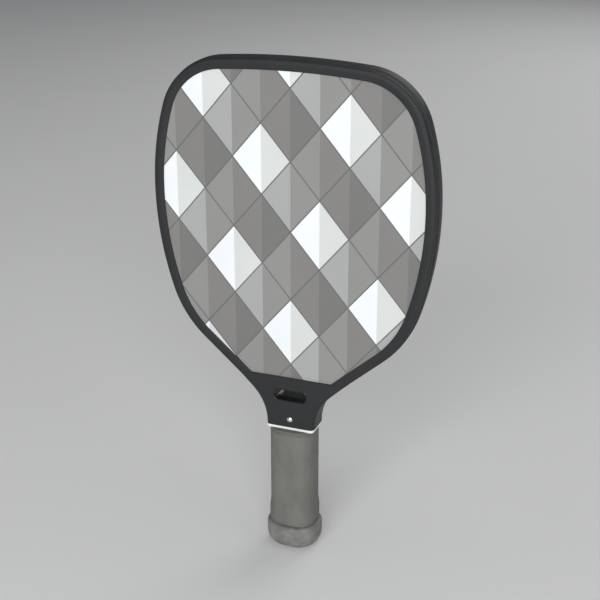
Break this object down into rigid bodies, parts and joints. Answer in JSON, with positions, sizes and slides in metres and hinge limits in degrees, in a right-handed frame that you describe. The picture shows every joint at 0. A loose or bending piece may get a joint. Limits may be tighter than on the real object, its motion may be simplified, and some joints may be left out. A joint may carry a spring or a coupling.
{
  "type": "pickleball paddle",
  "caption": "Pickleball paddle: honeycomb panel with composite faces, ribbed edge guard, slotted throat and a wrapped handle with a soft butt cap.",
  "frame": {"origin": "centre of the butt cap's flat underside, the lowest point of the paddle stood on its butt", "axes": "+X across the face to the right, +Y from the front face to the rear face, +Z from the butt up to the top of the head"},
  "size_m": [0.2144, 0.0374, 0.386],
  "materials": {
    "core": "translucent white polypropylene",
    "foam": "closed-cell foam",
    "adhesive": "thin adhesive or tape",
    "composite": "woven composite under a thin resin skin",
    "graphic": "satin printed film with a faint grit",
    "guard": "satin flexible black plastic",
    "throat": "fine matt moulded black plastic",
    "liner": "glossy black plastic",
    "metal": "bright plated steel",
    "collar": "white trim",
    "cushion": "thin foam backing",
    "grip": "soft polyurethane wrap, warm grey",
    "butt_rubber": "soft mottled grey rubber",
    "butt_plate": "plain moulded plastic"
  },
  "bodies": {
    "root": {"honeycomb_core": "core", "throat_core_block": "core", "core_edge_band": "foam", "front_bond_film": "adhesive", "rear_bond_film": "adhesive", "front_face_sheet": "composite", "rear_face_sheet": "composite", "front_graphic_film": "graphic", "rear_graphic_film": "graphic", "edge_guard_tape": "adhesive", "edge_guard": "guard", "front_throat_cover": "throat", "rear_throat_cover": "throat", "front_throat_tape": "adhesive", "rear_throat_tape": "adhesive", "throat_slot_liner": "liner", "throat_rivet": "metal", "throat_rivet_cap": "metal", "collar_trim_ring": "collar", "front_handle_pallet": "foam", "rear_handle_pallet": "foam", "grip_adhesive_layer": "adhesive", "grip_cushion": "cushion", "grip_wrap": "grip", "grip_finishing_band": "grip", "butt_cap": "butt_rubber", "butt_badge": "butt_plate", "butt_cap_staples": "metal"}
  },
  "joints": []
}
